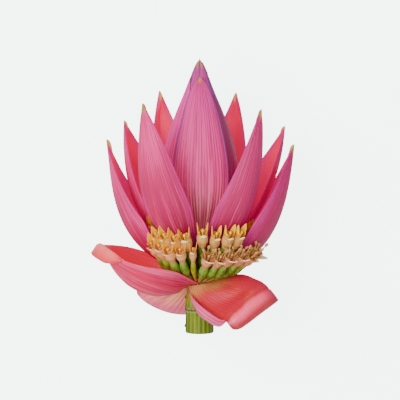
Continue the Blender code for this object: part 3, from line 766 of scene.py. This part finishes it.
def make_reflexed_bracts():
    for node, shape in ROLLED_BRACTS.items():
        outer, along, across = rolled_form(**shape)
        tints = {key: shape[key] for key in ("seed", "outside", "inside", "turns", "painted_glow")}
        make_piece(node, [leaf_skin(outer, along, across, 1.0, edge=0.4)], "reflexed",
                   [leaf_material(node, **tints, **ROLLED_FINISH)])
    node = "reflexed_bract_back"
    outer, along, across = bract_form(**HANGING_BRACT)
    rest_on_sheet(outer)
    make_piece(node, [leaf_skin(outer, along, across, 1.1, edge=0.3)], "reflexed_back",
               [leaf_material(node, HANGING_BRACT["seed"], **HANGING_FINISH)])


make_reflexed_bracts()


# --- Flowers ------------------------------------------------------------------------------------
# Each flower is a green ovary on a short stalk, then a beige tube split down its outer side. The
# tube ends in five lobes, orange when fresh, curled and knobbed when old, and a free tepal with a
# pale lip closes the split. Flowers grow side by side in flat hands, one under each bract.

BEND_OUT = 0.62           # shares of the way out and up at which the axis bends
BEND_UP = 0.22
END_RING = 6              # points of the ring at either end of a flower's solid


def flower_axis(node, girth, neck, throat):
    """A flower's foot, bend and top, from the rings at the two ends of its solid; its girth; and
    the shares of its length at which its ovary ends and its tube opens."""
    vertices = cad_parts[node].data.vertices
    places = np.empty(3 * len(vertices))
    vertices.foreach_get("co", places)
    places = np.unique(np.round(places.reshape(-1, 3) / MM - FOOT, 2), axis=0)
    foot = places[np.argsort(np.hypot(places[:, 0], places[:, 2]))[:END_RING]].mean(0)
    top = places[np.argsort(places[:, 1])[-END_RING:]].mean(0)
    turns = [math.degrees(math.atan2(end[0], end[2])) for end in (foot, top)]
    turns[1] += 360.0 * round((turns[0] - turns[1]) / 360.0)
    reach = [math.hypot(end[0], end[2]) for end in (foot, top)]
    bend = around_axis(sum(turns) / 2, reach[0] + BEND_OUT * (reach[1] - reach[0]),
                       foot[1] + BEND_UP * (top[1] - foot[1]))
    return foot, bend, top, girth, neck, throat


def on_flower(axis, share, side, out):
    """Points on a flower's axis, a quadratic curve, moved to its right and outwards from it."""
    foot, bend, top, girth = axis[:4]
    share, side, out = [value[..., None] for value in np.broadcast_arrays(share, side, out)]
    middle = foot * (1.0 - share) ** 2 + 2.0 * bend * share * (1.0 - share) + top * share ** 2
    along = unit((bend - foot) * (1.0 - share) + (top - bend) * share)
    outward = middle * [1.0, 0.0, 1.0]
    outward = unit(outward - along * (outward * along).sum(-1, keepdims=True))
    return middle + (np.cross(along, outward) * side + outward * out) * girth


def make_ovary(axis):
    """Rings on the axis: a stalk that swells smoothly to the ovary and narrows to the neck, its
    section rounded to three corners by a cosine of three times the angle."""
    t = np.linspace(0.0, 1.03, 30)[:, None]
    angle = np.radians(round_turn(18))
    radius = 1.5 + 1.45 * ease(0.25, 0.65, t) - 1.05 * ease(0.72, 1.03, t)
    radius = radius * (1.0 + 0.05 * np.cos(3.0 * angle))
    points = on_flower(axis, t * axis[4], radius * np.sin(angle), radius * np.cos(angle))
    return points, t, angle / np.pi, 0.0, 0


def round_ring(grid):
    """A leaf skin's values for each point of its rings, from a grid over its outer face."""
    return np.concatenate([grid[:, :1], grid, grid[:, -1:], grid[:, ::-1]], 1)


def make_tube(axis, teeth, flare):
    """A trough round the inner side of the axis, which bulges, draws in to the throat and ends in
    teeth, given as (place across, reach, half width): each rises above the throat by its reach
    times the square root of one less the distance from its middle in half widths."""
    neck, throat = axis[4:]
    across = np.linspace(-1.0, 1.0, 71)
    rise = np.full_like(across, 0.015)
    for place, reach, half in teeth:
        rise = np.maximum(rise, reach * np.maximum(1.0 - np.abs(across - place) / half, 0.0) ** 0.5)
    t = np.linspace(0.0, 1.0, 34)[:, None]
    low, high = ramp(0.0, 0.5, t), ramp(0.5, 1.0, t)
    share = neck - 0.01 + (throat - neck + 0.01) * low + rise * high
    angle = np.radians(150.0) * across
    radius = 1.85 + 1.3 * ease(0.0, 0.27, t) - 0.35 * ease(0.3, 0.5, t) + flare * high ** 1.5
    outer = on_flower(axis, share, radius * np.sin(angle), -radius * np.cos(angle))
    points, _, side, _, _ = leaf_skin(outer, t[:, 0], across, 0.45, edge=0.5)
    pale = 0.4 * ease(0.75, 1.0, high) * np.ones_like(across)
    return points, round_ring(share - throat), side, round_ring(pale), 1


def make_free_tepal(axis, lip, sway, blunt, pale_from):
    """A spoon on the outer side of the axis: its half angle narrows to its tip, which curls out
    by `lip` mm and to the right by `sway` mm over the last third. It is pale from the share
    `pale_from` on."""
    neck, throat = axis[4:]
    t = np.linspace(0.0, 1.0, 26)
    across = np.linspace(-1.0, 1.0, 19)
    share = (neck - 0.015 + (throat + 0.02 - neck) * t)[:, None]
    angle = np.radians(90.0) * (np.maximum(1.0 - t ** blunt, 0.0) ** 0.7 + 0.05)[:, None] * across
    radius = (1.95 + 1.4 * ease(0.0, 0.5, t) - 0.3 * ease(0.6, 0.9, t))[:, None]
    turned = ease(0.66, 1.05, t)[:, None]
    outer = on_flower(axis, share, radius * np.sin(angle) + sway * turned,
                      radius * np.cos(angle) + lip * turned)
    points, _, side, _, _ = leaf_skin(outer, t, across, 0.4, edge=0.5, sense=1.0)
    return points, share - throat - 0.1, side, ease(pale_from, 0.97, t)[:, None], 1


def make_stamen(axis, turn, reach, curl, sway):
    """A stamen rises from the throat at an angle from the tube's back and curls outwards by a
    power of the way along. Its section is an ellipse that swells into a knob at its end."""
    t = np.linspace(0.0, 1.0, 14)[:, None]
    angle = np.radians(round_turn(10))
    taper = np.sqrt(np.maximum(1.0 - t ** 2.2, 0.0))
    swell = 0.85 * np.exp(-((t - 0.86) / 0.12) ** 2)
    half = 0.75 * taper * (1.0 - 0.5 * ease(0.1, 0.5, t)) + swell + 0.08
    thick = 0.38 * np.minimum(taper + 0.1, 1.0) + swell
    distance = 2.2 + curl * t ** 1.6 + thick * np.sin(angle)
    around = np.radians(turn + sway * t ** 2) + half * np.cos(angle) / (2.4 + curl * t)
    share = axis[5] - 0.03 + reach * t
    points = on_flower(axis, share, distance * np.sin(around), -distance * np.cos(around))
    return points, 0.13 * t, angle / np.pi, 0.0, 1


def make_style(axis):
    """A thin style on the axis that ends in a round pale stigma."""
    t = np.linspace(0.0, 1.0, 14)[:, None]
    angle = np.radians(round_turn(10))
    radius = 0.35 + 0.55 * np.exp(-((t - 0.82) / 0.14) ** 2) * np.sqrt(np.maximum(1.0 - t ** 6, 0.0))
    points = on_flower(axis, axis[5] - 0.05 + 0.115 * t, radius * np.sin(angle),
                       1.2 + radius * np.cos(angle))
    return points, 0.1, angle / np.pi, 0.4 * ease(0.6, 0.8, t), 1


def ovary_material(name, stalk, shade, green, pale):
    """Smooth green skin with faint lengthwise streaks, tan at the stalk and paler at the neck.
    The pattern's second part is 0 at the foot and 1 at the neck."""
    material, shader, pattern = new_material(name, specular_ior_level=0.25)
    across, along, _ = pattern.split()
    place = object_place(pattern)
    x, y, z = place.split()
    streaks = pattern.noise((x * 900.0, y * 140.0, z * 900.0), detail=3.0)
    cloud = pattern.noise(place, 260.0)
    ribs = (across * 28.0).wave()
    skin = pattern.blend(cloud.step(0.35, 0.65), shade, green)
    skin = skin.dye(streaks.step(0.5, 0.72) * 0.45, pale).dye(along.step(0.8, 1.0) * 0.7, pale)
    wood = pattern.blend(ribs.step(0.2, 0.9), "8a6030", stalk)
    skin = skin.dye((along + (streaks - 0.5) * 0.15).step(0.36, 0.22), wood)
    dress(shader, skin, streaks * 0.2 + 0.34, streaks * 0.5 + ribs * 0.2 + cloud * 0.5, 0.0003)
    return material


def tepal_material(name, tube, flush, throat, lobe, lip):
    """Waxy tepals, finely veined: a beige tube that flushes, a bright throat and pale tips. The
    pattern's second part is 0 at the throat and its third is how pale the tip is. They let
    daylight through, which a faint glow stands for."""
    material, shader, pattern = new_material(name, specular_ior_level=0.25)
    _, along, pale = pattern.split()
    place = object_place(pattern)
    x, y, z = place.split()
    veins = pattern.noise((x * 1500.0, y * 260.0, z * 1500.0), detail=3.0)
    cloud = pattern.noise(place, 420.0)
    skin = pattern.blend(cloud.step(0.35, 0.68), tube, flush).dye(veins.step(0.5, 0.7) * 0.35, flush)
    skin = skin.dye((along + (cloud - 0.5) * 0.03).step(-0.025, 0.01), throat)
    skin = skin.dye((along + (cloud - 0.5) * 0.05).step(0.015, 0.05), lobe)
    skin = skin.dye((pale + (veins - 0.5) * 0.3).step(0.25, 0.85), lip)
    dress(shader, skin, veins * 0.2 + 0.4, veins * 0.5 + cloud * 0.5, 0.0003)
    # Painted glow: emission of the tepals' own colour stands for the daylight they let through.
    connect(0.12, shader.inputs["Emission Strength"])
    connect(skin, shader.inputs["Emission Color"])
    return material


FRESH = tepal_material("fresh_tepals", "d09850", "b88040", "d07c00", "f4b400", "fce4a0")
WORN = tepal_material("worn_tepals", "dc9860", "c47c50", "cc7400", "eca400", "f4d098")
OLD = tepal_material("old_tepals", "d88c5c", "b87048", "9c6430", "b88448", "f8e0b0")
DARK_OVARY = ovary_material("dark_ovary", "c09048", "34480a", "4e6c10", "7a9430")
LIGHT_OVARY = ovary_material("light_ovary", "c89048", "526a14", "76962a", "a0b448")
SLENDER_OVARY = ovary_material("slender_ovary", "c8a040", "8a8a14", "a8a018", "d0a830")
WITHERED = [ovary_material("withered_ovary", "7a4018", "5a2c10", "7a4418", "90602c"),
            tepal_material("withered_tepals", "8a4418", "6a3010", "9c4c08", "b06810", "c89058")]

# Teeth of a fresh crown, each (place across, reach, half width): two tall horns at its sides, a
# low one at its back and two small ones in front
TEETH = [(-0.9, 0.05, 0.14), (-0.52, 0.14, 0.3), (0.0, 0.03, 0.3), (0.52, 0.14, 0.3), (0.9, 0.05, 0.14)]
STAMENS = [(-10.0, 0.17), (-62.0, 0.13), (50.0, 0.15), (-118.0, 0.2), (112.0, 0.22)]   # (turn, reach)
# Each hand: how many flowers, how old they are (0 to 1), the shares of their length at which the
# ovary ends and the tube opens, how far the free tepal's tip curls out and right, and finishes
HANDS = {
    "flower_right_upper": (4, 0.0, 0.70, 0.885, 0.8, 0.9, [DARK_OVARY, FRESH]),
    "flower_left_upper": (4, 0.2, 0.68, 0.88, 1.2, -0.7, [DARK_OVARY, FRESH]),
    "flower_right_axil": (1, 0.3, 0.62, 0.86, 0.6, 0.0, WITHERED),
    "flower_left_axil": (1, 0.3, 0.62, 0.86, 0.6, 0.0, WITHERED),
    "flower_left_lower": (5, 0.4, 0.70, 0.88, 1.3, -1.0, [LIGHT_OVARY, WORN]),
    "flower_right_lower": (6, 1.0, 0.61, 0.80, 2.6, 2.6, [LIGHT_OVARY, OLD]),
    "flower_back": (5, 1.0, 0.61, 0.80, 2.0, 0.0, [LIGHT_OVARY, OLD]),
}


def make_flowers():
    """Each flower's own size, lean and lip come from the sine of its number. An old one has shed
    its horns: five curled stamens with knobs stand in the throat. The last old one on the right
    has a long white lip, and the first worn one on the left is still slender."""
    for hand, (flowers, old, neck, throat, lip, sway, finishes) in HANDS.items():
        for number in range(1, flowers + 1):
            node = f"{hand}_{number}"
            slender = node == "flower_left_lower_1"
            whitened = float(node == "flower_right_lower_6")
            wander = np.sin(number * 2.4 + np.arange(5) * 1.9)
            girth = 0.62 if slender or "axil" in node else 1.0 + 0.06 * wander[0]
            axis = flower_axis(node, girth, neck + 0.01 * wander[3], throat + 0.01 * wander[3])
            worn_to = 0.2 if old > 0.5 else 1.0
            teeth = [(place + 0.04 * turn, reach * worn_to * (1.0 + 0.4 * old * turn), half)
                     for (place, reach, half), turn in zip(TEETH, wander)]
            skins = [make_ovary(axis), make_tube(axis, teeth, 0.5 + 1.2 * old), make_style(axis),
                     make_free_tepal(axis, lip + 0.4 * wander[1] + 2.0 * whitened,
                                     sway + 0.4 * wander[2] + 2.0 * whitened,
                                     2.2 + 1.8 * old, 0.7 - 0.45 * whitened)]
            if old > 0.5:
                skins += [make_stamen(axis, turn, reach, 1.8 + 0.8 * lean, 18.0 * lean)
                          for (turn, reach), lean in zip(STAMENS, wander)]
            make_piece(node, skins, "fresh_flower" if "upper" in hand else "old_flower",
                       [SLENDER_OVARY, WORN] if slender else finishes)


make_flowers()
